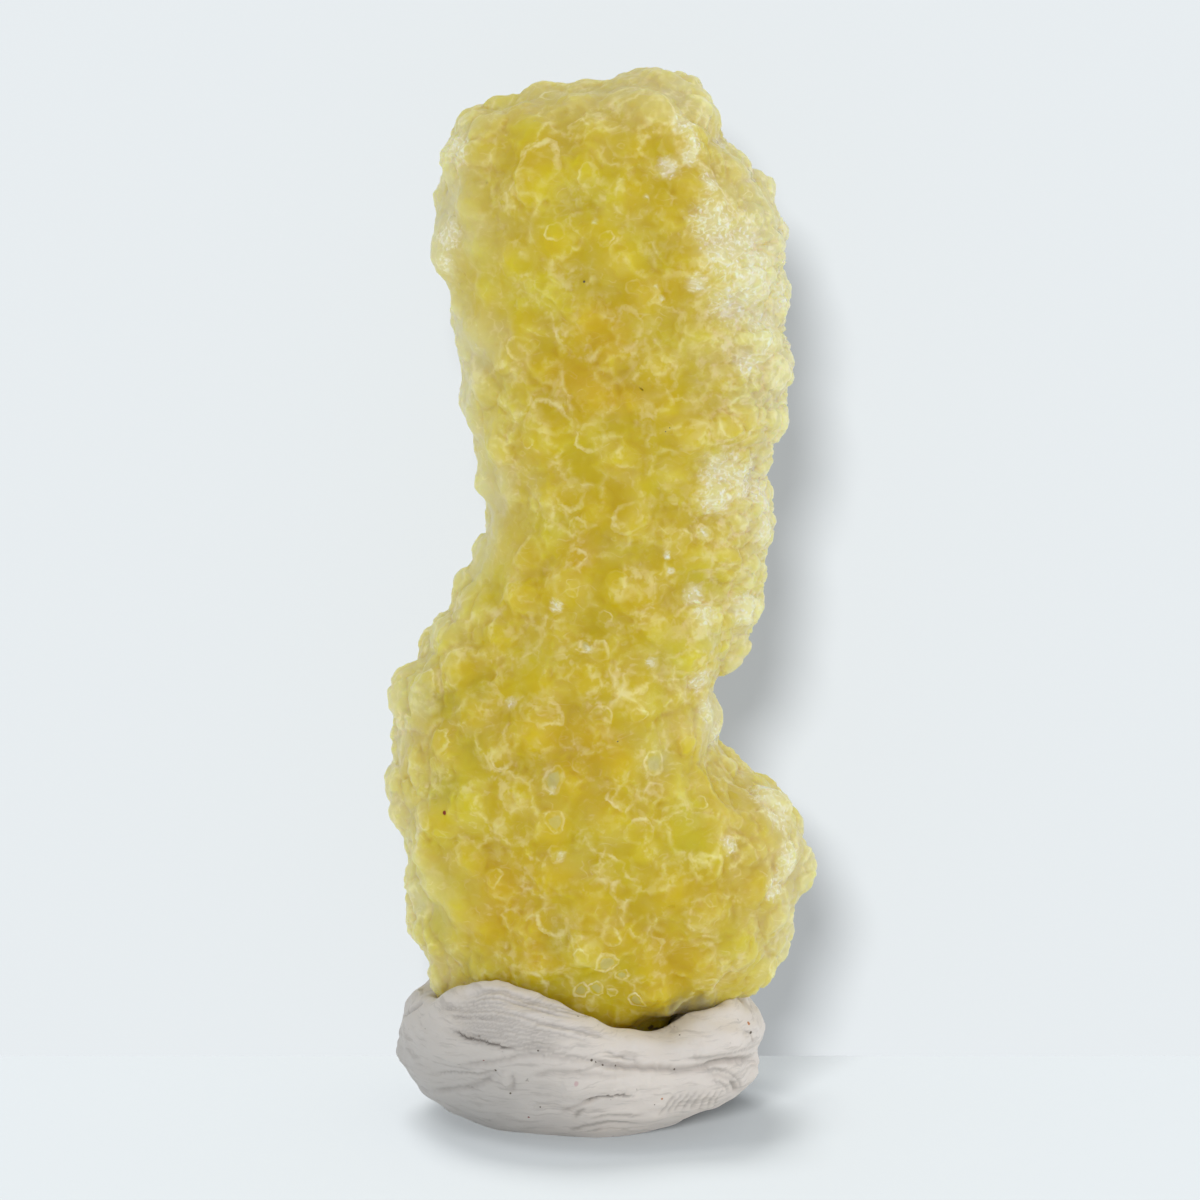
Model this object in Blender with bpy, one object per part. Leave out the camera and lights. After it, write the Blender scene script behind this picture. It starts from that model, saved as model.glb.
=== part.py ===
"""A finger of yellow botryoidal brucite, standing in a lump of white mounting putty.

Two solids: the crystal, a lofted core covered with fused rounded crystal tips, and the
putty, a pinched lump with a flat foot, a wavy rim and a socket that follows the crystal.
All sizes below are millimetres and are turned into metres when the meshes are made.
+Z is up, -Y is the front, and the origin is on the putty's flat foot.
"""

import math
import random

import bmesh
import bpy
import numpy as np
from mathutils import Vector
from mathutils.bvhtree import BVHTree

MM = 0.001

# ---------------------------------------------------------------- crystal, driving sizes
# The core's sections, from the hidden root to the crown:
# (height, left edge x, right edge x, crest x, front depth, back depth)
CORE_SECTIONS = (
    (3.6, -5.5, 1.6, -2.2, 3.6, 3.6),
    (4.2, -7.0, 2.8, -2.2, 4.6, 4.6),
    (6.0, -8.6, 3.8, -2.0, 5.6, 5.4),
    (7.6, -9.7, 5.0, -1.6, 6.2, 6.0),
    (8.6, -10.4, 9.2, -0.8, 6.8, 6.6),
    (9.8, -11.1, 11.2, 0.0, 7.6, 7.1),
    (12.7, -12.0, 12.6, 0.9, 8.4, 7.9),
    (15.6, -12.7, 13.3, 1.4, 8.8, 8.3),
    (18.4, -13.0, 13.5, 1.5, 8.8, 8.4),
    (21.3, -13.8, 12.1, 1.2, 8.6, 8.4),
    (24.1, -13.6, 8.2, 0.4, 8.4, 8.3),
    (27.9, -13.2, 7.6, -0.2, 8.0, 8.1),
    (30.7, -12.0, 7.8, 0.2, 7.6, 7.8),
    (33.6, -10.6, 9.8, 0.9, 7.3, 7.6),
    (37.4, -8.4, 10.4, 1.6, 7.0, 7.4),
    (41.2, -7.1, 10.7, 2.0, 6.8, 7.2),
    (45.2, -8.1, 10.6, 2.2, 7.0, 7.2),
    (48.4, -9.0, 11.7, 2.4, 7.2, 7.3),
    (51.4, -9.1, 11.8, 2.4, 7.4, 7.3),
    (55.4, -9.8, 11.6, 2.3, 7.7, 7.4),
    (59.2, -10.9, 11.8, 2.2, 7.8, 7.3),
    (62.5, -10.1, 10.8, 2.0, 7.5, 6.9),
    (65.4, -9.8, 8.0, 1.6, 6.9, 6.2),
    (67.2, -8.7, 7.2, 1.4, 6.1, 5.4),
    (68.6, -4.9, 7.0, 1.9, 4.9, 4.3),
    (69.6, 0.3, 5.8, 2.8, 3.2, 2.8),
)
CROWN_TOP = (3.2, 0.0, 70.6)
ROOT_BOTTOM = (-2.2, 0.0, 3.5)
SECTION_POINTS = 72
SECTION_STEP = 0.5
FRONT_LEFT_SQUARENESS = 2.05
FRONT_RIGHT_SQUARENESS = 2.35
BACK_SQUARENESS = 2.45

# ---------------------------------------------------------------- crystal tips
TIP_SEED = 31
TIP_RADIUS_RANGE = (1.45, 2.25)
TIP_SPACING = 0.70
TIP_STANDS_PROUD = (0.34, 0.56)
TIP_CANDIDATES = 9000
TIPS_START_HEIGHT = 6.2
TIP_SUBDIVISIONS = 3
# Where the surface is within this of level, a tip's sideways is +X
NEARLY_LEVEL = 0.05
# On the right flank the tips are drawn out sideways
FLANK_STRETCH = 1.45
FLANK_START_X = 5.5
FLANK_HEIGHTS = (33.0, 62.0)
# Larger knobs that stand out: (side, place across it, height, radius, share standing proud).
# The place is an x on the front and the back, and a y on the left and the right.
KNOBS = (
    ("front", -4.0, 63.6, 2.5, 0.55),
    ("front", 3.4, 68.6, 2.6, 0.40),
    ("front", 5.9, 66.2, 2.2, 0.45),
    ("left", -1.5, 64.6, 2.2, 0.45),
    ("left", -2.0, 58.4, 2.3, 0.45),
    ("left", 1.0, 48.6, 2.0, 0.45),
    ("left", -1.0, 43.1, 1.5, 0.95),
    ("front", 9.6, 57.6, 2.4, 0.40),
    ("right", -2.0, 51.0, 2.4, 0.48),
    ("right", -1.5, 47.4, 2.2, 0.50),
    ("right", -1.0, 40.0, 2.1, 0.55),
    ("right", -2.0, 34.9, 2.2, 0.45),
    ("front", 1.6, 37.0, 2.2, 0.50),
    ("front", 2.3, 29.6, 2.4, 0.55),
    ("front", -4.3, 27.6, 2.2, 0.50),
    ("left", 0.0, 29.0, 2.2, 0.70),
    ("front", -3.2, 21.4, 1.9, 0.60),
    ("right", -2.5, 21.2, 2.4, 0.42),
    ("right", -1.0, 17.0, 2.4, 0.46),
    ("front", -0.6, 16.2, 2.4, 0.45),
    ("front", 9.4, 13.2, 2.3, 0.45),
    ("front", 3.6, 10.2, 2.1, 0.45),
    ("front", -7.6, 11.2, 1.9, 0.45),
    ("back", -4.6, 60.5, 2.5, 0.50),
    ("back", 5.2, 54.6, 2.4, 0.45),
    ("back", -1.6, 44.8, 2.5, 0.50),
    ("back", 3.8, 34.2, 2.4, 0.45),
    ("back", -6.5, 24.4, 2.6, 0.50),
    ("back", 6.2, 15.6, 2.5, 0.45),
)
SIDES = {
    "front": Vector((0, -1, 0)),
    "back": Vector((0, 1, 0)),
    "left": Vector((-1, 0, 0)),
    "right": Vector((1, 0, 0)),
}
FAR_OUTSIDE = 60.0
CRYSTAL_VOXEL = 0.36
CRYSTAL_TRIANGLES = 7500

# ---------------------------------------------------------------- putty, driving sizes
PUTTY_CENTRE_X = -1.4
# Half widths of the lump, as shares of its fullest width, at shares of the rim's height
PUTTY_PROFILE = (
    (0.00, 0.590),
    (0.02, 0.630),
    (0.10, 0.760),
    (0.22, 0.875),
    (0.36, 0.955),
    (0.52, 1.000),
    (0.66, 0.988),
    (0.80, 0.945),
    (0.91, 0.880),
    (0.98, 0.805),
    (1.00, 0.735),
)
PUTTY_LEFT = 12.6
PUTTY_RIGHT = 12.7
PUTTY_FRONT = 11.2
PUTTY_BACK = 10.6
PUTTY_SQUARENESS = 2.3
# The lump is pinched in low down: the share of the width that goes, and the shares of the
# rim's height between which it comes back
PINCH_RIGHT = 0.175
PINCH_RIGHT_SPAN = (0.16, 0.28)
PINCH_LEFT = 0.05
PINCH_LEFT_SPAN = (0.37, 0.46)
# The rim's height round the lump: (angle in degrees from +X towards +Y, height)
RIM_HEIGHTS = (
    (-180.0, 8.4),
    (-155.0, 9.4),
    (-130.0, 10.7),
    (-105.0, 9.4),
    (-85.0, 7.7),
    (-65.0, 7.2),
    (-45.0, 7.7),
    (-20.0, 8.5),
    (0.0, 8.4),
    (40.0, 8.9),
    (90.0, 9.8),
    (135.0, 9.4),
    (180.0, 8.4),
)
# The shallow well inside the rim: its size as a share of the rim's, and its depth
WELL_SHARE = 0.5
WELL_DROP = 2.6
PUTTY_POINTS = 96
PUTTY_LEVELS = 25
# Folds and lumps stay off the foot and the rim: the shares of the height between which they are
FOLDED_SHARES = (0.05, 0.97)
CREASE_DEPTH = 0.55
CREASE_WIDTH = 0.75
# The fold runs out towards the back: the sine of the angle where it ends, and its onset
CREASE_END = 0.35
CREASE_ONSET = 2.0
# The fold that crosses the front: (x, height)
CREASE_PATH = (
    (-11.6, 5.2),
    (-8.0, 4.6),
    (-4.0, 3.8),
    (0.0, 3.5),
    (5.0, 3.9),
    (9.0, 4.4),
    (11.4, 4.5),
)
# The notch at the fold's right end: its depth, height, half height, and half angle in radians
NOTCH_DEPTH = 0.75
NOTCH_HEIGHT = 4.45
NOTCH_HALF_HEIGHT = 0.5
NOTCH_HALF_ANGLE = 0.30
# The lump's slow unevenness: its depth, its waves round it and up it, and where they start
UNEVEN_DEPTH = 0.175
UNEVEN_WAVES_ROUND = 3
UNEVEN_WAVES_UP = 1
UNEVEN_START_ROUND = 1.1
UNEVEN_START_UP = 0.6
# The gap that the socket keeps to the crystal
SOCKET_GAP = 0.42
SOCKET_VOXEL = 0.45
SOCKET_TOP = 14.0
SOCKET_TRIANGLES = 1500
PUTTY_VOXEL = 0.40
PUTTY_TRIANGLES = 2200
FOOT_PLANE = 0.0
# Points this low belong to the foot
FOOT_BAND = 0.24

# ---------------------------------------------------------------- finish
BRUCITE_YELLOW = (0.60, 0.50, 0.045, 1.0)
BRUCITE_ROUGHNESS = 0.35
PUTTY_WHITE = (0.70, 0.65, 0.60, 1.0)
PUTTY_ROUGHNESS = 0.75


def clear_scene():
    for obj in list(bpy.data.objects):
        bpy.data.objects.remove(obj)


def make_material(name, colour, roughness):
    material = bpy.data.materials.new(name)
    material.use_nodes = True
    shader = material.node_tree.nodes["Principled BSDF"]
    shader.inputs["Base Color"].default_value = colour
    shader.inputs["Roughness"].default_value = roughness
    shader.inputs["Metallic"].default_value = 0.0
    return material


def make_object(name, points, faces):
    """A mesh object from points in millimetres."""
    mesh = bpy.data.meshes.new(name)
    mesh.from_pydata([tuple(point) for point in np.asarray(points) * MM], [], faces)
    mesh.update()
    obj = bpy.data.objects.new(name, mesh)
    bpy.context.collection.objects.link(obj)
    return obj


def apply_modifiers(obj):
    depsgraph = bpy.context.evaluated_depsgraph_get()
    depsgraph.update()
    mesh = bpy.data.meshes.new_from_object(obj.evaluated_get(depsgraph))
    obj.modifiers.clear()
    old_mesh = obj.data
    obj.data = mesh
    bpy.data.meshes.remove(old_mesh)


def voxel_remesh(obj, voxel):
    remesh = obj.modifiers.new("Remesh", 'REMESH')
    remesh.mode = 'VOXEL'
    remesh.voxel_size = voxel * MM
    apply_modifiers(obj)


def reduce_to(obj, triangles):
    """Collapse edges until about this many triangles are left."""
    obj.data.calc_loop_triangles()
    decimate = obj.modifiers.new("Decimate", 'DECIMATE')
    decimate.ratio = min(1.0, triangles / len(obj.data.loop_triangles))
    decimate.use_collapse_triangulate = True
    apply_modifiers(obj)


def mesh_points(obj):
    """The mesh's points in millimetres."""
    points = np.empty(len(obj.data.vertices) * 3, dtype=np.float32)
    obj.data.vertices.foreach_get("co", points)
    return points.reshape(-1, 3).astype(float) / MM


def set_mesh_points(obj, points):
    obj.data.vertices.foreach_set("co", (points * MM).astype(np.float32).ravel())
    obj.data.update()


def smooth_curve(table, at):
    """A smooth curve through a table of hand-placed rows, read at the value `at` of column 0."""
    rows = np.asarray(table)
    keys = rows[:, 0]
    last = len(keys) - 1
    slopes = np.zeros_like(rows)
    slopes[1:-1] = (rows[2:] - rows[:-2]) / (keys[2:] - keys[:-2])[:, None]
    slopes[0] = (rows[1] - rows[0]) / (keys[1] - keys[0])
    slopes[last] = (rows[last] - rows[last - 1]) / (keys[last] - keys[last - 1])
    index = int(np.clip(np.searchsorted(keys, at) - 1, 0, last - 1))
    span = keys[index + 1] - keys[index]
    t = float(np.clip((at - keys[index]) / span, 0.0, 1.0))
    start_share = 2 * t ** 3 - 3 * t ** 2 + 1
    start_pull = (t ** 3 - 2 * t ** 2 + t) * span
    end_pull = (t ** 3 - t ** 2) * span
    value = rows[index] * start_share + slopes[index] * start_pull
    value += rows[index + 1] * (1 - start_share) + slopes[index + 1] * end_pull
    return value[1:]


def superellipse(angle, squareness):
    """A point on a unit superellipse."""
    power = 2.0 / squareness
    x = math.copysign(abs(math.cos(angle)) ** power, math.cos(angle))
    y = math.copysign(abs(math.sin(angle)) ** power, math.sin(angle))
    return x, y


def core_ring(height):
    """One section of the crystal's core, counter-clockwise seen from above."""
    left, right, crest, front, back = smooth_curve(CORE_SECTIONS, height)
    ring = []
    for number in range(SECTION_POINTS):
        angle = 2 * math.pi * number / SECTION_POINTS
        in_front = math.sin(angle) < 0
        on_right = math.cos(angle) > 0
        squareness = BACK_SQUARENESS
        if in_front:
            squareness = FRONT_RIGHT_SQUARENESS if on_right else FRONT_LEFT_SQUARENESS
        x, y = superellipse(angle, squareness)
        reach = (right - crest) if on_right else (crest - left)
        depth = front if in_front else back
        ring.append((crest + x * reach, y * depth, height))
    return ring


def loft(rings, bottom, top):
    """A closed skin through equal rings, with a fan to one point at each end."""
    count = len(rings[0])
    points = [point for ring in rings for point in ring] + [bottom, top]
    bottom_index = len(points) - 2
    top_index = len(points) - 1
    last_start = (len(rings) - 1) * count
    faces = []
    for level in range(len(rings) - 1):
        for number in range(count):
            after = (number + 1) % count
            low = level * count
            high = low + count
            faces.append((low + number, low + after, high + after, high + number))
    for number in range(count):
        after = (number + 1) % count
        faces.append((after, number, bottom_index))
        faces.append((last_start + number, last_start + after, top_index))
    return points, faces


def build_core():
    lowest = CORE_SECTIONS[0][0]
    highest = CORE_SECTIONS[-1][0]
    levels = int((highest - lowest) / SECTION_STEP)
    heights = [lowest + (highest - lowest) * level / levels for level in range(levels + 1)]
    rings = [core_ring(height) for height in heights]
    points, faces = loft(rings, ROOT_BOTTOM, CROWN_TOP)
    return make_object("core", points, faces)


def scatter_places(core):
    """Places for the crystal tips: the knobs first, then an even, seeded scatter."""
    chance = random.Random(TIP_SEED)
    points = mesh_points(core)
    core.data.calc_loop_triangles()
    triangles = [tuple(triangle.vertices) for triangle in core.data.loop_triangles]
    tree = BVHTree.FromPolygons([Vector(point) for point in points], triangles)
    places = []
    for side, across, height, radius, proud in KNOBS:
        outwards = SIDES[side]
        start = outwards * FAR_OUTSIDE + Vector((0, 0, height))
        start += Vector((0, across, 0)) if outwards.x else Vector((across, 0, 0))
        hit, normal, _, _ = tree.ray_cast(start, -outwards)
        places.append((hit, normal, radius, proud))
    corners = np.array([[points[index] for index in triangle] for triangle in triangles])
    crosses = np.cross(corners[:, 1] - corners[:, 0], corners[:, 2] - corners[:, 0])
    areas = np.linalg.norm(crosses, axis=1) / 2
    picks = chance.choices(range(len(triangles)), weights=areas, k=TIP_CANDIDATES)
    for pick in picks:
        first = chance.random()
        second = chance.random()
        if first + second > 1:
            first, second = 1 - first, 1 - second
        a, b, c = corners[pick]
        place = Vector(a + (b - a) * first + (c - a) * second)
        radius = chance.uniform(*TIP_RADIUS_RANGE)
        if place.z < TIPS_START_HEIGHT:
            continue
        crowded = any(
            (place - other).length < TIP_SPACING * (radius + other_radius)
            for other, _, other_radius, _ in places
        )
        if crowded:
            continue
        normal = Vector(crosses[pick]).normalized()
        places.append((place, normal, radius, chance.uniform(*TIP_STANDS_PROUD)))
    return places


def tip_axes(place, normal):
    """The tip's own directions and stretches: along the surface, up it, and out of it."""
    sideways = Vector((0, 0, 1)).cross(normal)
    on_top = sideways.length < NEARLY_LEVEL
    sideways = Vector((1, 0, 0)) if on_top else sideways.normalized()
    upward = normal.cross(sideways)
    on_flank = place.x > FLANK_START_X and FLANK_HEIGHTS[0] < place.z < FLANK_HEIGHTS[1]
    stretch = FLANK_STRETCH if on_flank else 1.0
    return (sideways, stretch), (upward, 1.0 / math.sqrt(stretch)), (normal, 1.0)


def sphere_template():
    """A unit ball, as points and faces."""
    ball = bpy.data.meshes.new("ball")
    mesh = bmesh.new()
    bmesh.ops.create_icosphere(mesh, subdivisions=TIP_SUBDIVISIONS, radius=1.0)
    mesh.to_mesh(ball)
    mesh.free()
    points = np.array([vertex.co[:] for vertex in ball.vertices])
    faces = [tuple(polygon.vertices) for polygon in ball.polygons]
    bpy.data.meshes.remove(ball)
    return points, faces


def build_brucite():
    """The core with every tip fused to it."""
    core = build_core()
    ball_points, ball_faces = sphere_template()
    all_points = [mesh_points(core)]
    all_faces = [tuple(polygon.vertices) for polygon in core.data.polygons]
    offset = len(all_points[0])
    for place, normal, radius, proud in scatter_places(core):
        centre = place - normal * radius * (1 - proud)
        ball = np.zeros_like(ball_points)
        for column, (direction, stretch) in enumerate(tip_axes(place, normal)):
            ball += np.outer(ball_points[:, column] * stretch * radius, direction[:])
        all_points.append(ball + np.array(centre[:]))
        all_faces += [tuple(index + offset for index in face) for face in ball_faces]
        offset += len(ball_points)
    bpy.data.objects.remove(core)
    brucite = make_object("brucite", np.vstack(all_points), all_faces)
    voxel_remesh(brucite, CRYSTAL_VOXEL)
    return brucite


def rim_height(angle):
    return float(smooth_curve(RIM_HEIGHTS, math.degrees(angle))[0])


def ease(t):
    """A smooth step from 0 to 1."""
    t = min(1.0, max(0.0, t))
    return t * t * (3.0 - 2.0 * t)


def bell(distance):
    return math.exp(-distance * distance)


def crease_inset(x, height, angle):
    """How far the fold across the front presses in."""
    front = min(1.0, max(0.0, CREASE_END - math.sin(angle)) * CREASE_ONSET)
    crease_height = float(smooth_curve(CREASE_PATH, x)[0])
    return CREASE_DEPTH * front * bell((height - crease_height) / CREASE_WIDTH)


def notch_inset(height, angle):
    """How far the notch at the right end of the fold presses in."""
    across = bell(angle / NOTCH_HALF_ANGLE)
    return NOTCH_DEPTH * across * bell((height - NOTCH_HEIGHT) / NOTCH_HALF_HEIGHT)


def uneven_inset(angle, share):
    """The lump's slow unevenness, inwards where it is positive."""
    around = math.sin(UNEVEN_WAVES_ROUND * angle + UNEVEN_START_ROUND)
    upwards = math.sin(UNEVEN_WAVES_UP * 2 * math.pi * share + UNEVEN_START_UP)
    return UNEVEN_DEPTH * around * upwards


def putty_ring(share, reach):
    """One ring of the lump's outside, at this share of the rim's height."""
    ring = []
    for number in range(PUTTY_POINTS):
        angle = 2 * math.pi * number / PUTTY_POINTS - math.pi
        x, y = superellipse(angle, PUTTY_SQUARENESS)
        wide = PUTTY_RIGHT if x > 0 else PUTTY_LEFT
        deep = PUTTY_BACK if y > 0 else PUTTY_FRONT
        height = rim_height(angle) * share
        pinch = PINCH_RIGHT if x > 0 else PINCH_LEFT
        full, gone = PINCH_RIGHT_SPAN if x > 0 else PINCH_LEFT_SPAN
        wide *= 1.0 - pinch * (1.0 - ease((share - full) / (gone - full))) * abs(x)
        inset = 0.0
        if FOLDED_SHARES[0] < share < FOLDED_SHARES[1]:
            inset = crease_inset(PUTTY_CENTRE_X + x * wide * reach, height, angle)
            inset += notch_inset(height, angle) + uneven_inset(angle, share)
        scale = reach * (1.0 - inset / wide)
        ring.append((PUTTY_CENTRE_X + x * wide * scale, y * deep * scale, height))
    return ring


def build_lump():
    """The putty before the crystal's socket is cut."""
    rings = []
    for level in range(PUTTY_LEVELS):
        share = level / (PUTTY_LEVELS - 1)
        reach = float(smooth_curve(PUTTY_PROFILE, share)[0])
        rings.append(putty_ring(share, reach))
    well = []
    for x, y, height in rings[-1]:
        inner_x = PUTTY_CENTRE_X + (x - PUTTY_CENTRE_X) * WELL_SHARE
        well.append((inner_x, y * WELL_SHARE, height - WELL_DROP))
    rings.append(well)
    centre_height = sum(point[2] for point in well) / len(well)
    bottom = (PUTTY_CENTRE_X, 0.0, FOOT_PLANE)
    points, faces = loft(rings, bottom, (PUTTY_CENTRE_X, 0.0, centre_height))
    lump = make_object("putty", points, faces)
    voxel_remesh(lump, PUTTY_VOXEL)
    return lump


def build_socket_cutter(brucite):
    """The crystal's lower end, grown by the gap that the putty keeps to it."""
    cutter = make_object(
        "socket_cutter",
        mesh_points(brucite),
        [tuple(polygon.vertices) for polygon in brucite.data.polygons],
    )
    mesh = bmesh.new()
    mesh.from_mesh(cutter.data)
    whole = mesh.verts[:] + mesh.edges[:] + mesh.faces[:]
    cut = bmesh.ops.bisect_plane(
        mesh,
        geom=whole,
        plane_co=(0, 0, SOCKET_TOP * MM),
        plane_no=(0, 0, 1),
        clear_outer=True,
    )
    edges = [item for item in cut["geom_cut"] if isinstance(item, bmesh.types.BMEdge)]
    bmesh.ops.triangle_fill(mesh, edges=edges, use_beauty=True)
    mesh.to_mesh(cutter.data)
    mesh.free()
    voxel_remesh(cutter, SOCKET_VOXEL)
    normals = np.empty(len(cutter.data.vertices) * 3, dtype=np.float32)
    cutter.data.vertices.foreach_get("normal", normals)
    grown = mesh_points(cutter) + normals.reshape(-1, 3) * SOCKET_GAP
    set_mesh_points(cutter, grown)
    voxel_remesh(cutter, SOCKET_VOXEL)
    reduce_to(cutter, SOCKET_TRIANGLES)
    cutter.hide_render = True
    cutter.display_type = 'WIRE'
    return cutter


def flatten_foot(obj):
    """Set the foot's points exactly on the ground."""
    points = mesh_points(obj)
    low = points[:, 2] < FOOT_PLANE + FOOT_BAND
    points[low, 2] = FOOT_PLANE
    set_mesh_points(obj, points)


def build_putty(brucite):
    lump = build_lump()
    cutter = build_socket_cutter(brucite)
    cut = lump.modifiers.new("Socket", 'BOOLEAN')
    cut.operation = 'DIFFERENCE'
    cut.solver = 'EXACT'
    cut.object = cutter
    apply_modifiers(lump)
    bpy.data.objects.remove(cutter)
    reduce_to(lump, PUTTY_TRIANGLES)
    flatten_foot(lump)
    return lump


def build():
    clear_scene()
    brucite = build_brucite()
    reduce_to(brucite, CRYSTAL_TRIANGLES)
    putty = build_putty(brucite)
    brucite.data.materials.append(make_material("brucite", BRUCITE_YELLOW, BRUCITE_ROUGHNESS))
    putty.data.materials.append(make_material("putty", PUTTY_WHITE, PUTTY_ROUGHNESS))


build()
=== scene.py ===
import math

import bpy
import numpy as np
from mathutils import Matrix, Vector
from mathutils.bvhtree import BVHTree
from mathutils.kdtree import KDTree


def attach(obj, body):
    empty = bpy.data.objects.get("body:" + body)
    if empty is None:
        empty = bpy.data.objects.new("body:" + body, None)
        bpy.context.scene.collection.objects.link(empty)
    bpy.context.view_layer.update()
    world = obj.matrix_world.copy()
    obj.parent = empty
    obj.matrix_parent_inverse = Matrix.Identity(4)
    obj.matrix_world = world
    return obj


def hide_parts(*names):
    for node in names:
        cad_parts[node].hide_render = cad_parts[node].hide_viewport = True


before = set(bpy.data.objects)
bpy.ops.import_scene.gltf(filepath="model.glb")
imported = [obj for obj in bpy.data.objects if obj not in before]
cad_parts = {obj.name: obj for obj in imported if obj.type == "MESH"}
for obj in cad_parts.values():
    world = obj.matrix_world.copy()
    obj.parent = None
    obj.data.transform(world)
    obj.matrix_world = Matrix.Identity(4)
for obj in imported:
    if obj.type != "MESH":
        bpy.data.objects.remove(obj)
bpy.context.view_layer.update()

MM = 0.001
# The size of detail in the fine meshes
FINE_VOXEL = 0.15 * MM

# ---------------- camera
# The view is from the front, a little above level, through a long lens.
VIEW_ELEVATION = math.radians(10.0)
VIEW_DISTANCE = 0.400
VIEW_TARGET = Vector((0.0, 0.0, 35.1 * MM))
FRAME_WIDTH = 80.0 * MM
SENSOR = 36.0
IMAGE_PIXELS = 1200
VIEW_BACK = Vector((0.0, -math.cos(VIEW_ELEVATION), math.sin(VIEW_ELEVATION)))
VIEW_UP = Vector((0.0, math.sin(VIEW_ELEVATION), math.cos(VIEW_ELEVATION)))
VIEW_START = VIEW_TARGET + VIEW_BACK * VIEW_DISTANCE


def into_scene(name, data):
    """A new object of the scene."""
    obj = bpy.data.objects.new(name, data)
    bpy.context.scene.collection.objects.link(obj)
    return obj


def make_camera():
    data = bpy.data.cameras.new("camera")
    data.sensor_width = SENSOR
    data.lens = SENSOR * VIEW_DISTANCE / FRAME_WIDTH
    data.clip_start = 0.01
    data.clip_end = 10.0
    camera = into_scene("camera", data)
    camera.location = VIEW_START
    camera.rotation_mode = 'QUATERNION'
    camera.rotation_quaternion = (-VIEW_BACK).to_track_quat('-Z', 'Y')
    bpy.context.scene.camera = camera


def pixel_ray(x, y):
    """The start and direction of the sight line through a pixel of the 1200 x 1200 frame."""
    sideways = (x - IMAGE_PIXELS / 2) / IMAGE_PIXELS * FRAME_WIDTH
    high = (IMAGE_PIXELS / 2 - y) / IMAGE_PIXELS * FRAME_WIDTH
    aim = VIEW_TARGET + Vector((sideways, 0.0, 0.0)) + VIEW_UP * high
    return VIEW_START, (aim - VIEW_START).normalized()


# ---------------- mesh helpers
def vectors_of(obj, what):
    """The place ("co") or the "normal" of every point of a mesh."""
    vectors = np.empty(len(obj.data.vertices) * 3, dtype=np.float32)
    obj.data.vertices.foreach_get(what, vectors)
    return vectors.reshape(-1, 3).astype(np.float64)


def set_points(obj, points):
    obj.data.vertices.foreach_set("co", points.astype(np.float32).ravel())
    obj.data.update()


def apply_modifiers(obj):
    depsgraph = bpy.context.evaluated_depsgraph_get()
    depsgraph.update()
    mesh = bpy.data.meshes.new_from_object(obj.evaluated_get(depsgraph))
    obj.modifiers.clear()
    old = obj.data
    obj.data = mesh
    bpy.data.meshes.remove(old)


def voxel_remesh(obj, voxel):
    remesh = obj.modifiers.new("Remesh", 'REMESH')
    remesh.mode = 'VOXEL'
    remesh.voxel_size = voxel
    apply_modifiers(obj)


def smooth(obj, rounds):
    modifier = obj.modifiers.new("Smooth", 'SMOOTH')
    modifier.factor = 0.5
    modifier.iterations = rounds
    apply_modifiers(obj)


def reduce_to(obj, triangles):
    obj.data.calc_loop_triangles()
    count = len(obj.data.loop_triangles)
    if count <= triangles:
        return
    decimate = obj.modifiers.new("Decimate", 'DECIMATE')
    decimate.ratio = triangles / count
    decimate.use_collapse_triangulate = True
    apply_modifiers(obj)


def copy_of_node(node, name):
    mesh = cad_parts[node].data.copy()
    mesh.materials.clear()
    return into_scene(name, mesh)


def add_attribute(obj, name, values):
    attribute = obj.data.attributes.new(name, 'FLOAT', 'POINT')
    attribute.data.foreach_set("value", values.astype(np.float32))


def add_rest(obj, points):
    """Keep the points' places before the relief is raised, for the material to draw by."""
    rest = obj.data.attributes.new("rest", 'FLOAT_VECTOR', 'POINT')
    rest.data.foreach_set("vector", points.astype(np.float32).ravel())


def ease(low, high, value):
    """0 up to the low value, 1 from the high one on, and smooth between."""
    t = np.clip((value - low) / (high - low), 0.0, 1.0)
    return t * t * (3.0 - 2.0 * t)


def fall(low, high, value):
    """1 up to the low value, 0 from the high one on, and smooth between."""
    return 1.0 - ease(low, high, value)


class Waves:
    """Smooth seeded noise in space, from a sum of plane waves of about one length."""

    def __init__(self, seed, length, count=24):
        chance = np.random.default_rng(seed)
        directions = chance.normal(size=(count, 3))
        directions /= np.linalg.norm(directions, axis=1)[:, None]
        lengths = length * chance.uniform(0.7, 1.5, size=count)
        self.waves = directions * (2 * math.pi / lengths)[:, None]
        self.phases = chance.uniform(0, 2 * math.pi, size=count)
        self.scale = math.sqrt(2.0 / count)

    def at(self, points):
        return np.cos(points @ self.waves.T + self.phases).sum(axis=1) * self.scale


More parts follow.
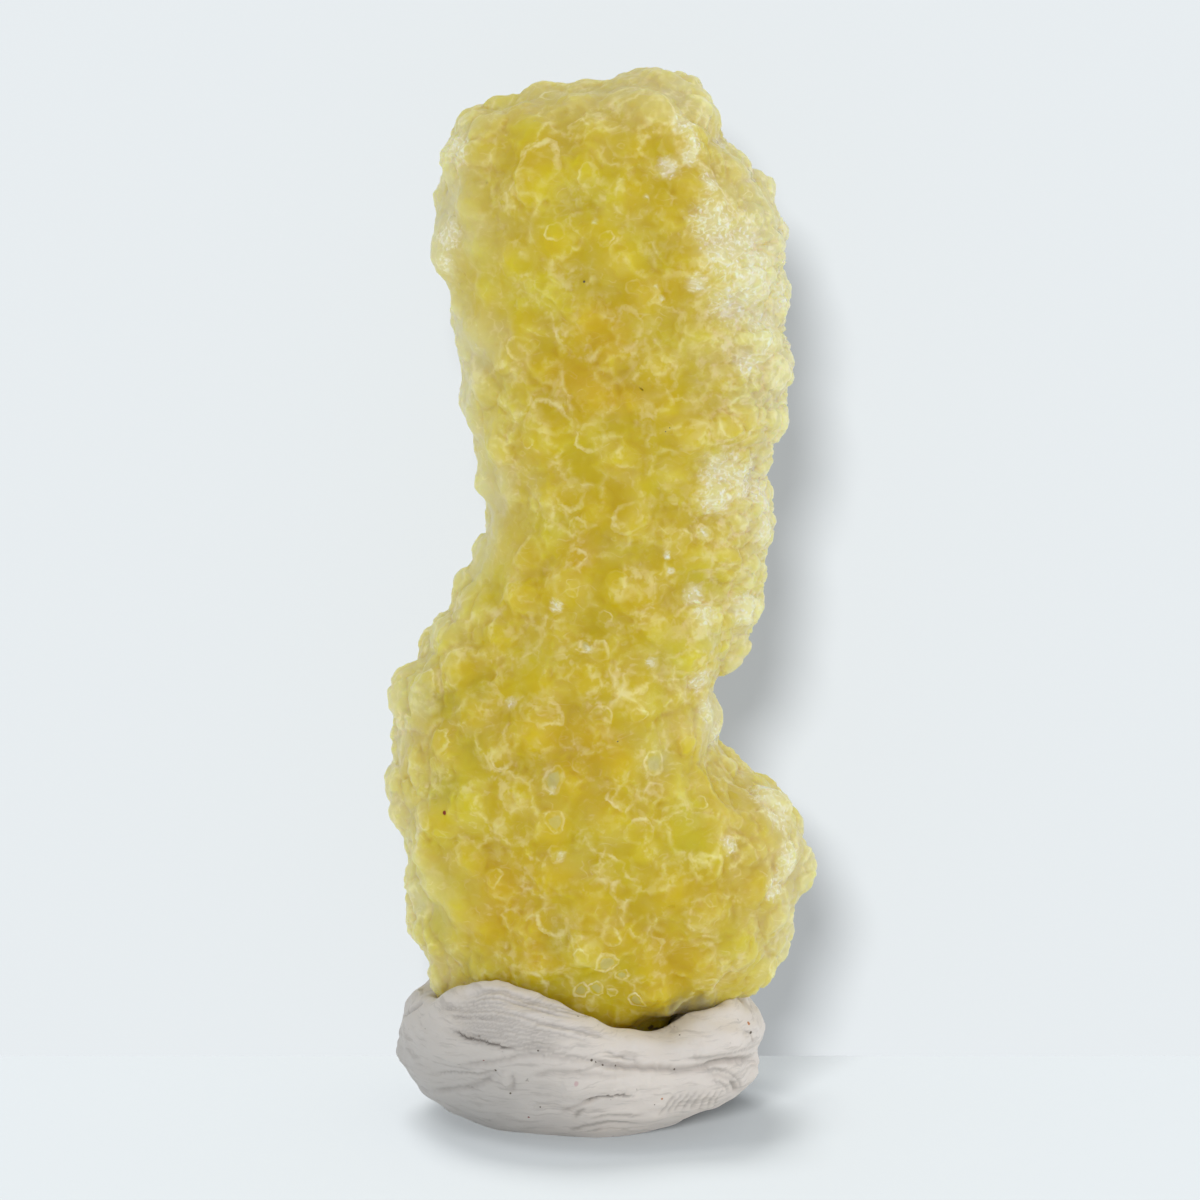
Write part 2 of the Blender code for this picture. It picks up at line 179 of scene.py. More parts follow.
# ---------------- node helpers
class Nodes:
    """Short calls for building a node tree, of a material or of Geometry Nodes."""

    def __init__(self, tree):
        self.tree = tree

    def fill(self, node, inputs):
        """Give each input a value, or what comes out of another node."""
        for name, value in inputs.items():
            if isinstance(value, bpy.types.NodeSocket):
                self.tree.links.new(value, node.inputs[name])
            else:
                node.inputs[name].default_value = value

    def add(self, kind, inputs=None, **settings):
        node = self.tree.nodes.new(kind)
        for name, value in settings.items():
            setattr(node, name, value)
        self.fill(node, inputs or {})
        return node

    def attribute(self, name, output="Fac"):
        return self.add("ShaderNodeAttribute", attribute_name=name).outputs[output]

    def math(self, operation, first, second=0.0, third=0.0):
        inputs = {0: first, 1: second, 2: third}
        return self.add("ShaderNodeMath", inputs, operation=operation).outputs[0]

    def times(self, first, second):
        return self.math('MULTIPLY', first, second)

    def larger(self, first, second):
        return self.math('MAXIMUM', first, second)

    def vector(self, operation, first, second, third=(0.0, 0.0, 0.0)):
        inputs = {0: first, 1: second, 2: third}
        node = self.add("ShaderNodeVectorMath", inputs, operation=operation)
        return node.outputs["Value" if operation == 'DISTANCE' else "Vector"]

    def ramp(self, value, low, high, out_low=0.0, out_high=1.0):
        inputs = {"Value": value, "From Min": low, "From Max": high, "To Min": out_low, "To Max": out_high}
        return self.add("ShaderNodeMapRange", inputs, interpolation_type='SMOOTHSTEP').outputs["Result"]

    def mix(self, share, first, second):
        """The first colour, with this share of the second. The node's colours are at 6, 7 and 2."""
        return self.add("ShaderNodeMix", {"Factor": share, 6: first, 7: second}, data_type='RGBA').outputs[2]

    def noise(self, length, detail, roughness, vector, output="Fac"):
        """Noise whose features are about the given length in metres."""
        inputs = {"Scale": 1.0 / length, "Detail": detail, "Roughness": roughness, "Vector": vector}
        return self.add("ShaderNodeTexNoise", inputs).outputs[output]

    def warp(self, vector, length, amount):
        """The place moved about by noise, so that what is drawn there wanders."""
        shift = self.noise(length, 3.0, 0.55, vector, "Color")
        return self.vector('MULTIPLY_ADD', shift, (amount, amount, amount), vector)

    def cells(self, feature, vector, size):
        inputs = {"Scale": 1.0 / size, "Vector": vector}
        return self.add("ShaderNodeTexVoronoi", inputs, feature=feature).outputs

    def cell_edge(self, vector, size):
        """How far, in metres, the place is from the border of its cell."""
        return self.times(self.cells('DISTANCE_TO_EDGE', vector, size)["Distance"], size)

    def cell_tone(self, vector, size):
        """One random number for each cell."""
        return self.cells('F1', vector, size)["Color"]

    def bump(self, height, strength, distance, under=None):
        """A normal bumped by the height, over another bump if there is one under it."""
        inputs = {"Strength": strength, "Distance": distance, "Height": height}
        if under is not None:
            inputs["Normal"] = under
        return self.add("ShaderNodeBump", inputs).outputs["Normal"]


def new_material(name):
    material = bpy.data.materials.new(name)
    material.use_nodes = True
    n = Nodes(material.node_tree)
    n.material = material
    n.shader = n.tree.nodes["Principled BSDF"]
    n.output = n.tree.nodes["Material Output"]
    return n


def srgb(red, green, blue):
    """A colour given as 0 to 255 screen values."""
    def linear(value):
        value /= 255.0
        return value / 12.92 if value <= 0.04045 else ((value + 0.055) / 1.055) ** 2.4
    return (linear(red), linear(green), linear(blue), 1.0)


# ---------------- the crystal
BASE_VOXEL = 0.45 * MM
BASE_SMOOTHING = 9
CRYSTAL_TRIANGLES = 195000
# How far the body is shrunk to leave room for the crust
CRUST_DEPTH = 0.34 * MM
CRYSTAL_SEED = 12
# The crust is made of rounded lumps, each covered with a foam of small cells whose borders
# stand up as thin rims. On the right flank the lumps are low ledges, one above another.
LUMP_CELL = 2.50 * MM
BROAD_CELL = 2.60 * MM
SMALL_CELL = 1.15 * MM
LEDGE_CELL = 1.50 * MM
LEDGE_STRETCH = (0.62, 0.62, 1.55)
# Where the ledges begin and where they are full, across the body and up it, and where they end
LEDGE_SIDE = (0.30, 0.62)
LEDGE_START = (27.0 * MM, 33.0 * MM)
LEDGE_END = (58.0 * MM, 63.0 * MM)
LUMP_HEIGHT = 0.42 * MM
LEDGE_HEIGHT = 0.46 * MM
BROAD_PIT = 0.09 * MM
SMALL_PIT = 0.10 * MM
SWELL_LENGTH = 4.5 * MM
SWELL_HEIGHT = 0.09 * MM
GRAIN_LENGTH = 0.60 * MM
GRAIN_HEIGHT = 0.020 * MM
# How strong the lumps are in the middle and on the flanks
MIDDLE_RELIEF = 0.13
FLANK_RELIEF = 0.90
# Standing tips are lower in the middle, by this share
MIDDLE_TIPS = 0.32
# The scattered tips: how many, how many places are tried, how wide, and how far apart
RING_COUNT = 330
RING_CANDIDATES = 20000
RING_RADII = (0.50 * MM, 1.35 * MM)
RING_SPACING = 0.95
# The share of them that are cups, and that are flats, the others being knobs
CUPS = 0.45
FLATS = 0.30
# Crystal tips that stand out, where they are seen in the 1200 x 1200 frame:
# (x, y, radius in millimetres, kind)
SEEN_TIPS = (
    (539, 163, 1.65, "cup"), (530, 192, 1.10, "knob"), (489, 127, 1.35, "knob"),
    (624, 98, 1.50, "cup"), (660, 110, 1.20, "cup"), (677, 146, 1.40, "cup"), (626, 144, 1.20, "flat"),
    (650, 233, 1.45, "flat"), (583, 223, 1.00, "cup"), (707, 197, 1.20, "knob"),
    (731, 255, 1.20, "cup"), (753, 293, 1.30, "knob"), (681, 286, 1.40, "flat"),
    (700, 317, 1.45, "flat"), (630, 323, 1.20, "flat"), (657, 377, 1.60, "flat"),
    (774, 373, 1.20, "cup"), (760, 347, 1.00, "cup"), (550, 417, 1.50, "cup"), (590, 437, 1.15, "cup"),
    (630, 517, 1.30, "cup"), (570, 497, 1.15, "cup"), (477, 477, 1.30, "knob"),
    (707, 497, 1.30, "flat"), (759, 533, 0.95, "cup"), (704, 534, 0.70, "cup"),
    (748, 611, 1.00, "cup"), (551, 606, 0.90, "knob"), (585, 647, 0.60, "hollow"),
    (634, 671, 1.75, "cup"), (600, 650, 0.80, "cup"), (527, 663, 0.95, "knob"),
    (590, 687, 0.95, "flat"), (541, 710, 1.40, "cup"), (603, 715, 0.85, "cup"),
    (652, 762, 0.90, "hollow"), (555, 780, 0.95, "hollow"), (555, 821, 0.80, "hollow"),
    (557, 852, 0.70, "knob"), (620, 797, 1.00, "cup"), (653, 793, 0.85, "cup"),
    (677, 820, 1.35, "flat"), (513, 827, 1.40, "flat"), (470, 857, 1.25, "flat"),
    (610, 868, 1.15, "cup"), (626, 888, 1.10, "cup"), (707, 867, 1.20, "cup"),
    (700, 923, 0.85, "knob"), (770, 799, 1.45, "knob"), (606, 960, 0.95, "bright"),
    (622, 974, 0.52, "bright"), (653, 947, 0.85, "cup"), (581, 956, 0.55, "cup"),
    (642, 973, 0.70, "flat"), (637, 999, 0.66, "bright"), (597, 988, 0.60, "bright"),
    (612, 991, 0.42, "bright"), (580, 990, 0.62, "bright"), (592, 1003, 0.50, "cup"),
    (625, 1021, 0.60, "cup"), (639, 1021, 0.55, "cup"),
)
TIP_KINDS = {
    # kind: (height of the tip, dimple of its top, strength of its pale rim,
    #        share of that strength where the rim is faintest, how clear its middle is)
    "cup": (0.24 * MM, 0.55, 0.95, 0.20, 0.0),
    "flat": (0.16 * MM, 0.20, 0.45, 0.20, 0.0),
    "knob": (0.30 * MM, 0.00, 0.40, 0.20, 0.0),
    "hollow": (0.24 * MM, 0.95, 1.00, 0.50, 1.0),
    "bright": (0.26 * MM, 0.45, 1.70, 0.60, 1.4),
}
# A tip's outline isn't round: (waves in a turn, their most height as a share of the radius)
TIP_WAVES = ((2, 0.18), (3, 0.14), (5, 0.10), (7, 0.07))
# What a point's place is, as a share of a tip's radius, when it is on no tip
OFF_TIPS = 1.25
# Bunches of white, glittering crystal, whose glints are painted as white grains: (x, y, radius in
# millimetres)
FROST_AND_GLINT_SPOTS = (
    (682, 124, 0.7), (693, 143, 0.5), (715, 146, 0.6), (668, 168, 0.6), (688, 158, 0.5),
    (706, 184, 0.6), (712, 222, 1.3), (724, 252, 1.5), (742, 240, 1.2), (752, 276, 1.7),
    (734, 300, 1.5), (762, 330, 1.2), (776, 296, 0.8), (745, 362, 0.8), (696, 281, 0.6),
    (655, 288, 0.16), (661, 297, 0.16), (646, 196, 0.18), (595, 222, 0.15), (720, 470, 1.2),
    (741, 478, 1.2), (757, 497, 1.0), (759, 533, 0.6), (704, 534, 0.3), (667, 556, 0.22),
    (670, 572, 0.22), (715, 497, 0.9), (762, 528, 0.8), (556, 606, 0.35), (693, 597, 0.6),
    (705, 613, 0.6), (742, 606, 0.9), (587, 649, 0.25), (652, 661, 0.35), (696, 678, 0.7),
    (704, 710, 0.7), (711, 736, 0.7), (512, 702, 0.3), (762, 800, 1.0), (775, 818, 0.9),
    (790, 858, 1.0), (770, 885, 0.8), (728, 845, 0.5), (460, 150, 0.9), (450, 235, 0.9),
    (447, 262, 0.6), (553, 790, 0.25), (560, 855, 0.3),
)
# Patches of another colour: (x, y, radius in millimetres, kind)
COLOUR_PATCHES = (
    (452, 700, 1.9, "olive"), (470, 745, 1.5, "olive"), (445, 785, 1.7, "olive"),
    (478, 690, 1.0, "olive"), (437, 925, 1.5, "olive"), (480, 975, 1.6, "olive"),
    (560, 940, 1.2, "olive"), (700, 850, 1.6, "lime"), (688, 812, 1.3, "lime"),
    (735, 945, 1.5, "lime"), (705, 575, 1.6, "lime"), (680, 660, 1.1, "lime"), (655, 700, 1.0, "lime"),
    (440, 835, 1.4, "lime"), (527, 128, 1.2, "lime"), (752, 312, 1.1, "glassy"),
    (776, 345, 1.0, "glassy"), (745, 392, 1.2, "glassy"), (768, 412, 1.0, "glassy"),
    (656, 761, 0.9, "glassy"), (707, 640, 1.1, "glassy"), (480, 505, 1.2, "glassy"),
    (425, 700, 1.1, "glassy"), (553, 778, 0.6, "glassy"), (600, 338, 2.4, "amber"),
    (580, 372, 2.4, "amber"), (620, 396, 1.5, "amber"), (582, 552, 1.4, "amber"),
    (582, 750, 2.6, "amber"), (505, 900, 2.8, "amber"), (545, 952, 1.8, "amber"),
    (675, 955, 2.2, "amber"), (680, 1011, 1.6, "matrix"), (663, 1021, 1.0, "matrix"),
    (702, 1004, 0.9, "matrix"),
)
# Places where the crust is nearly smooth: (x, y, radius in millimetres), and how much of its
# relief is gone there
SMOOTH_PLACES = (
    (455, 235, 3.0), (470, 305, 3.0), (462, 400, 3.0), (480, 470, 3.0), (500, 540, 2.4),
    (455, 900, 2.2),
)
SMOOTHING = 0.70
# How far the whole crust stands out from the base, which its smoothing has shrunk
GROUND = 0.10 * MM
# How pale the flanks are, partly painted light (the lamp on the right flank, light showing through the thin
# edges): (height in millimetres, share)
RIGHT_PALENESS = ((0, 0.45), (25, 0.50), (36, 0.50), (46, 0.68), (52, 1.0), (64, 1.0), (70, 0.7))
LEFT_PALENESS = ((0, 0.30), (14, 0.52), (28, 0.64), (38, 1.0))
# How far the cells' borders wander
BROAD_WANDER = 2.6 * MM
SMALL_WANDER = 1.5 * MM


def wandered(n, rest, shift, amount):
    """The rest place moved about, so that the cells' borders wander."""
    return n.vector('MULTIPLY_ADD', shift, (amount, amount, amount), rest)


def crust_fields(n, rest):
    """What is needed of the crust at the mesh's points: edges and tones of cells, slow shares."""
    shift = n.noise(1.9 * MM, 3.0, 0.62, rest, "Color")
    broad = wandered(n, rest, shift, BROAD_WANDER)
    small = wandered(n, rest, shift, SMALL_WANDER)
    lump = n.warp(rest, 2.6 * MM, 1.5 * MM)
    ledge = n.vector('MULTIPLY', n.warp(rest, 2.4 * MM, 1.8 * MM), LEDGE_STRETCH)
    return {
        "broad_edge": n.cell_edge(broad, BROAD_CELL),
        "small_edge": n.cell_edge(small, SMALL_CELL),
        "broad_tone": n.cell_tone(broad, BROAD_CELL),
        "lump_edge": n.cell_edge(lump, LUMP_CELL),
        "lump_tone": n.cell_tone(lump, LUMP_CELL),
        "ledge_edge": n.cell_edge(ledge, LEDGE_CELL),
        "ledge_tone": n.cell_tone(ledge, LEDGE_CELL),
        "small_share": n.ramp(n.noise(3.6 * MM, 3.0, 0.6, rest), 0.47, 0.56),
        "veil": n.ramp(n.noise(1.7 * MM, 4.0, 0.62, n.warp(rest, 2.0 * MM, 1.2 * MM)), 0.38, 0.70),
        "lemon": n.ramp(n.noise(6.0 * MM, 2.0, 0.5, rest), 0.48, 0.70),
        "broken": n.noise(4.5 * MM, 4.0, 0.62, rest),
        "clear": n.ramp(n.noise(2.2 * MM, 3.0, 0.6, rest), 0.36, 0.62),
        "haze": n.ramp(n.noise(2.4 * MM, 3.0, 0.6, rest), 0.35, 0.70, 0.30, 0.52),
        "shift": shift,
    }


def measure_cells(obj):
    """The crust's fields at each of the mesh's points, worked out by Geometry Nodes."""
    tree = bpy.data.node_groups.new("cells", 'GeometryNodeTree')
    tree.interface.new_socket("Geometry", in_out='INPUT', socket_type='NodeSocketGeometry')
    tree.interface.new_socket("Geometry", in_out='OUTPUT', socket_type='NodeSocketGeometry')
    n = Nodes(tree)
    values = crust_fields(n, n.add("GeometryNodeInputPosition").outputs[0])
    geometry = n.add("NodeGroupInput").outputs[0]
    for name, value in values.items():
        kind = 'FLOAT_VECTOR' if name == "shift" else 'FLOAT'
        inputs = {"Geometry": geometry, "Name": name, "Value": value}
        store = n.add("GeometryNodeStoreNamedAttribute", inputs, data_type=kind, domain='POINT')
        geometry = store.outputs["Geometry"]
    n.add("NodeGroupOutput", {0: geometry})
    modifier = obj.modifiers.new("Cells", 'NODES')
    modifier.node_group = tree
    apply_modifiers(obj)
    bpy.data.node_groups.remove(tree)
    measured = {}
    for name in values:
        if name == "shift":
            continue
        attribute = obj.data.attributes[name]
        numbers = np.empty(len(obj.data.vertices), dtype=np.float32)
        attribute.data.foreach_get("value", numbers)
        measured[name] = numbers.astype(np.float64)
        obj.data.attributes.remove(attribute)
    return measured


class Surface:
    """A mesh's points and normals, with ways to find them by pixel or by nearness."""

    def __init__(self, obj):
        self.points = vectors_of(obj, "co")
        self.normals = vectors_of(obj, "normal")
        faces = [tuple(face.vertices) for face in obj.data.polygons]
        self.tree = BVHTree.FromPolygons([Vector(point) for point in self.points], faces)
        self.near = KDTree(len(self.points))
        for number, point in enumerate(self.points):
            self.near.insert(point, number)
        self.near.balance()

    def hit(self, x, y):
        """The place seen at a pixel, or None off the object."""
        return self.tree.ray_cast(*pixel_ray(x, y))[0]

    def seen(self, x, y):
        """The number of the point seen at a pixel, or None off the object."""
        hit = self.hit(x, y)
        return None if hit is None else self.near.find(hit)[1]

    def from_side(self, azimuth, height):
        """The number of the point met when going inwards at an azimuth and a height."""
        angle = math.radians(azimuth)
        outwards = Vector((math.cos(angle), math.sin(angle), 0.0))
        hit = self.tree.ray_cast(outwards * 0.1 + Vector((0.0, 0.0, height)), -outwards)[0]
        return None if hit is None else self.near.find(hit)[1]

    def around(self, centre, radius):
        hits = self.near.find_range(centre, radius)
        return np.fromiter((hit[1] for hit in hits), dtype=np.int64, count=len(hits))

    def spots(self, places):
        """A field that is 1 at each of the places and falls to 0 at twice its radius."""
        field = np.zeros(len(self.points))
        for x, y, radius in places:
            number = self.seen(x, y)
            if number is None:
                continue
            centre = self.points[number]
            index = self.around(centre, 2.0 * radius * MM)
            distance = np.linalg.norm(self.points[index] - centre, axis=1) / (radius * MM)
            field[index] = np.maximum(field[index], 1.0 - distance / 2.0)
        return field


def across(points):
    """How far across the body each point lies: -1 at its left, 0 in the middle, 1 at its right."""
    heights = points[:, 2]
    step = 2.0 * MM
    levels = np.arange(heights.min(), heights.max() + step, step)
    middles = []
    halves = []
    for level in levels:
        near = np.abs(heights - level) < step
        low, high = points[near, 0].min(), points[near, 0].max()
        middles.append((low + high) / 2)
        halves.append((high - low) / 2)
    middle = np.interp(heights, levels, middles)
    half = np.interp(heights, levels, halves)
    return (points[:, 0] - middle) / half


def build_base():
    """The crystal's body without its crust of tips."""
    base = copy_of_node("brucite", "crystal")
    voxel_remesh(base, BASE_VOXEL)
    smooth(base, BASE_SMOOTHING)
    voxel_remesh(base, FINE_VOXEL)
    smooth(base, 4)
    set_points(base, vectors_of(base, "co") - vectors_of(base, "normal") * CRUST_DEPTH)
    return base


def place_rings(surface, calm):
    """The tips that stand out: those seen from the front, then a seeded scatter of others."""
    chance = np.random.default_rng(CRYSTAL_SEED)
    rings = []
    for x, y, radius, kind in SEEN_TIPS:
        number = surface.seen(x, y)
        if number is not None:
            rings.append((number, radius * MM, kind))
    order = chance.integers(0, len(surface.points), size=RING_CANDIDATES)
    draws = chance.uniform(size=(RING_CANDIDATES, 2))
    low, high = RING_RADII
    for number, (size_draw, kind_draw) in zip(order, draws):
        radius = low + (high - low) * size_draw ** 1.6
        gap = np.array([
            np.linalg.norm(surface.points[other] - surface.points[number]) - RING_SPACING * (radius + size)
            for other, size, _ in rings
        ])
        if gap.min() < 0.0 or calm[number] > 0.5:
            continue
        kind = "cup" if kind_draw < CUPS else "flat" if kind_draw < CUPS + FLATS else "knob"
        rings.append((number, radius, kind))
        if len(rings) >= len(SEEN_TIPS) + RING_COUNT:
            break
    return rings


def dome(distance, width):
    """A rounded edge: 0 at the border, 1 from the given width inwards."""
    share = np.clip(distance / width, 0.0, 1.0)
    return np.sqrt(1.0 - (1.0 - share) ** 2)


def crust_height(cells, side, heights):
    """How far the lumps and their foam of cells stand above the base, and where ledges are."""
    lump = LUMP_HEIGHT * (0.45 + 0.8 * cells["lump_tone"]) * dome(cells["lump_edge"], 0.75 * MM)
    ledge = LEDGE_HEIGHT * (0.5 + 0.9 * cells["ledge_tone"]) * dome(cells["ledge_edge"], 0.50 * MM)
    ledges = ease(*LEDGE_SIDE, side) * ease(*LEDGE_START, heights) * fall(*LEDGE_END, heights)
    share = cells["small_share"]
    broad_pit = BROAD_PIT * (0.5 + cells["broad_tone"]) * ease(0.05 * MM, 0.50 * MM, cells["broad_edge"])
    small_pit = SMALL_PIT * share * ease(0.03 * MM, 0.30 * MM, cells["small_edge"])
    pits = (broad_pit * (1.0 - 0.5 * share) + small_pit) * (1.0 - 0.5 * ledges)
    flank = ease(0.35, 0.95, np.abs(side))
    strength = MIDDLE_RELIEF + (FLANK_RELIEF - MIDDLE_RELIEF) * flank
    return (lump * (1.0 - ledges) + ledge * ledges) * strength - pits, ledges


def ring_profile(u, dimple):
    """Height over a tip's own width: a flat-topped dome with a dimple, falling off beyond."""
    top = np.sqrt(np.clip(1.0 - np.clip(u, 0.0, 1.0) ** 3.2, 0.0, 1.0))
    bowl = dimple * 0.42 * fall(0.25, 0.74, u)
    return np.where(u < 1.0, top - bowl, -2.0 * (u - 1.0))


def add_rings(surface, rings, lift, side):
    """Raise the standing tips over the foam, and note each one's place, rim and clear middle.

    The place is 0 at a tip's centre and 1 at its outline.
    """
    chance = np.random.default_rng(CRYSTAL_SEED + 2)
    count = len(surface.points)
    place = np.full(count, OFF_TIPS)
    rim = np.zeros(count)
    hollow = np.zeros(count)
    foam = lift.copy()
    for number, radius, kind in rings:
        height, dimple, rim_strength, faintest, clear = TIP_KINDS[kind]
        draws = chance.uniform(size=16)
        centre = surface.points[number]
        normal = surface.normals[number]
        index = surface.around(centre, radius * 1.45)
        offset = surface.points[index] - centre
        sideways = np.cross(normal, (0.13, 0.21, 0.97))
        sideways /= np.linalg.norm(sideways)
        a = offset @ sideways
        b = offset @ np.cross(normal, sideways)
        angle = np.arctan2(b, a)
        wobble = 1.0
        for waves, strength in TIP_WAVES:
            phase = draws[waves] * 2 * math.pi
            wobble = wobble + strength * draws[waves + 7] * np.cos(waves * angle + phase)
        u = np.linalg.norm(offset, axis=1) / (radius * wobble)
        size = (radius / MM) ** 0.6
        tall = height * size * (0.75 + 0.5 * draws[0])
        tall *= MIDDLE_TIPS + (1.0 - MIDDLE_TIPS) * ease(0.3, 0.9, abs(side[number]))
        ground = np.percentile(foam[index], 55)
        own = ground + tall * ring_profile(u, dimple) + 0.60 * (foam[index] - ground)
        inside = (u < 1.0) & ((own > lift[index]) | (place[index] > 1.0))
        won = index[inside]
        lift[won] = own[inside]
        place[won] = u[inside]
        turned = 0.5 + 0.5 * np.cos(angle[inside] - 2 * math.pi * draws[13])
        rim[won] = rim_strength * (0.75 + 0.5 * draws[3]) * (faintest + (1.0 - faintest) * turned ** 2)
        hollow[won] = clear
    return place, rim, hollow


def build_crystal():
    """The crystal's fine mesh, with the fields that its material draws by, and its specks."""
    base = build_base()
    surface = Surface(base)
    cells = measure_cells(base)
    points, normals = surface.points, surface.normals
    side = across(points)
    lift, ledges = crust_height(cells, side, points[:, 2])
    calm = ease(0.0, 0.6, surface.spots(SMOOTH_PLACES))
    lift = lift * (1.0 - SMOOTHING * calm)
    cells["clear"] = cells["clear"] * (1.0 - SMOOTHING * calm)
    place, rim, hollow = add_rings(surface, place_rings(surface, calm), lift, side)
    swell = Waves(CRYSTAL_SEED + 4, SWELL_LENGTH, 30).at(points) * SWELL_HEIGHT
    grain = Waves(CRYSTAL_SEED + 5, GRAIN_LENGTH, 40).at(points) * GRAIN_HEIGHT
    broken = 0.7 * (cells["broken"] - 0.5)
    fields = {
        "place": place, "rim": rim, "hollow": hollow,
        # right, left and edge: paler flanks and outline, partly painted light where the lamp falls and light
        # shows through the thin edges
        "right": ease(0.30, 1.05, side + broken) * np.interp(points[:, 2] / MM, *zip(*RIGHT_PALENESS)),
        "left": ease(0.45, 1.10, broken - side) * np.interp(points[:, 2] / MM, *zip(*LEFT_PALENESS)),
        "edge": np.maximum(
            ease(0.70, 1.02, np.abs(side) + 0.5 * broken),
            0.8 * ease(65.5 * MM, 71.0 * MM, points[:, 2]),
        ),
        "ledge_line": ledges * fall(0.05 * MM, 0.32 * MM, cells["ledge_edge"]),
        "small_line": 0.7 * cells["small_share"] * fall(0.02 * MM, 0.26 * MM, cells["small_edge"]),
        "tone": cells["broad_tone"],
        # where the glints of white crystal are painted, as a field that is 1 at each spot
        "frost_and_glints": surface.spots(FROST_AND_GLINT_SPOTS),
    }
    for name in ("veil", "lemon", "clear", "haze"):
        fields[name] = cells[name]
    for kind in PATCH_COLOURS:
        fields[kind] = surface.spots([patch[:3] for patch in COLOUR_PATCHES if patch[3] == kind])
    for name, values in fields.items():
        add_attribute(base, name, values)
    add_rest(base, points)
    set_points(base, points + normals * (GROUND + lift + swell + grain)[:, None])
    reduce_to(base, CRYSTAL_TRIANGLES)
    base.data.shade_smooth()
    return base, find_specks(surface, CRYSTAL_SPECKS)


DEEP_GOLD = srgb(212, 181, 0)
GOLDEN = srgb(217, 192, 8)
LEMON = srgb(222, 206, 34)
CREAM = srgb(220, 210, 154)
FROSTED_AND_LIT_LEMON = srgb(220, 211, 142)
EDGE_GLOW_PALE = srgb(224, 219, 184)
RIM_WHITE = srgb(255, 242, 192)
FROST_AND_SHEEN_CREAM = srgb(236, 226, 178)
FROST_AND_GLINT_WHITE = srgb(255, 250, 234)
PATCH_COLOURS = {
    # kind: (colour, how strongly it covers)
    "amber": (srgb(214, 174, 0), 0.60),
    "olive": (srgb(200, 183, 48), 0.50),
    "lime": (srgb(214, 200, 30), 0.40),
    "glassy": (srgb(208, 200, 140), 0.50),
    "matrix": (srgb(172, 156, 112), 1.0),
}
# Each border is a thin bright line within a soft pale one, at these distances from it.
THIN_LINE = (0.02 * MM, 0.14 * MM)
BROAD_LINE = (0.04 * MM, 0.42 * MM)
# How many curled lines there are to a full swing of their noise
CURLS = 7.0


def border_line(n, edge):
    """How much of a pale border there is at a distance from it."""
    wide = n.times(n.ramp(edge, *BROAD_LINE, 1.0, 0.0), 0.68)
    thin = n.times(n.ramp(edge, *THIN_LINE, 1.0, 0.0), 0.32)
    return n.math('ADD', wide, thin)


def curled_lines(n, rest):
    """Fine nested lines, one above another like the edges of scales."""
    field = n.noise(1.9 * MM, 2.0, 0.55, n.vector('MULTIPLY', rest, (0.8, 0.8, 1.35)))
    nested = n.math('FRACT', n.times(field, CURLS))
    return n.ramp(n.math('ABSOLUTE', n.math('SUBTRACT', nested, 0.5)), 0.02, 0.20, 1.0, 0.0)


